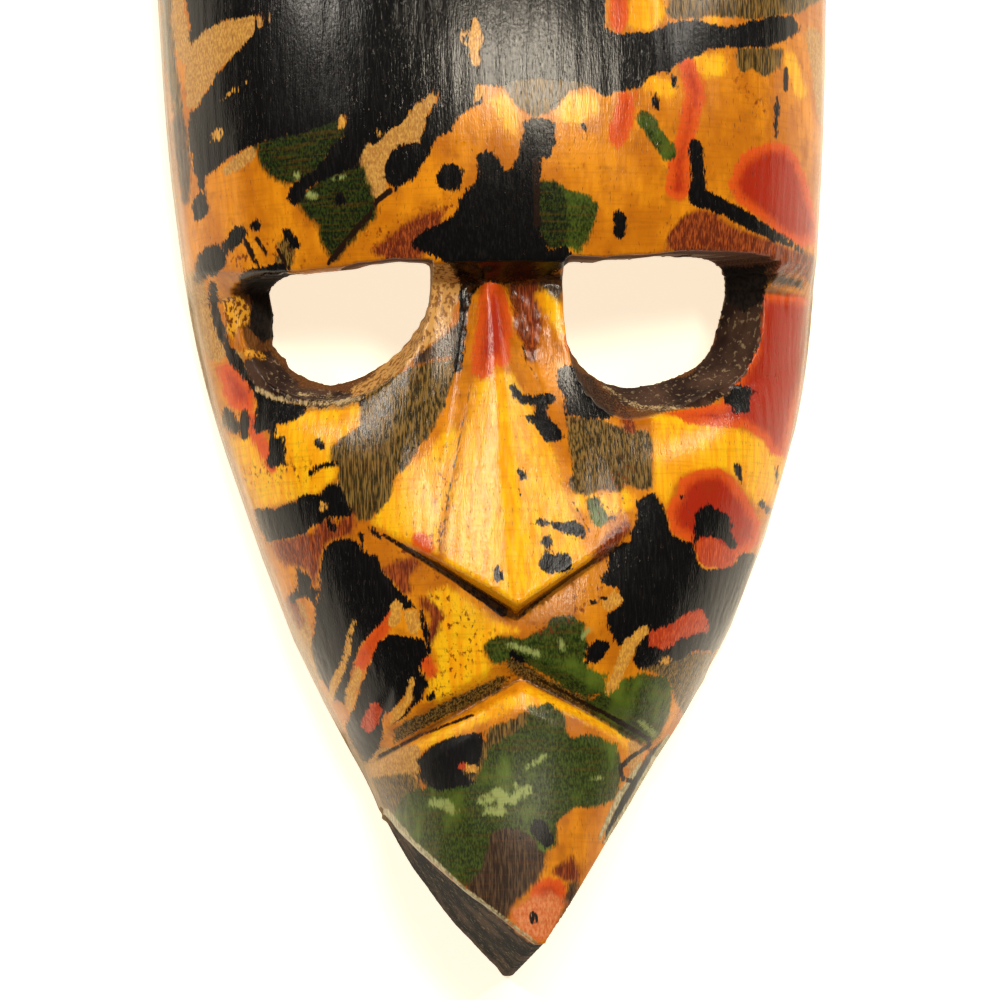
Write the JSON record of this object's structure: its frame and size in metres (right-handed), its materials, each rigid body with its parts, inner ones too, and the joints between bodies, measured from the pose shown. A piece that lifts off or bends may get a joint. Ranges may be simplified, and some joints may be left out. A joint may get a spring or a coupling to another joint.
{
  "type": "tribal mask",
  "caption": "Carved wooden face mask with a long domed forehead, cut-through eyes, wedge nose, slanting mouth and pointed chin, hollow behind, lying face up.",
  "frame": {"origin": "on the plane of the back rim, under the middle of the outline", "axes": "+Z out of the face, which looks up while the mask lies on its back rim; +Y from the chin towards the crown; +X to the right of someone who looks at the face"},
  "size_m": [0.153, 0.306, 0.0614],
  "materials": {
    "stained_wood": "wood stained in ochre, black, green and red blots under a clear semi-gloss varnish"
  },
  "bodies": {
    "root": {"mask": "stained_wood"}
  },
  "joints": []
}
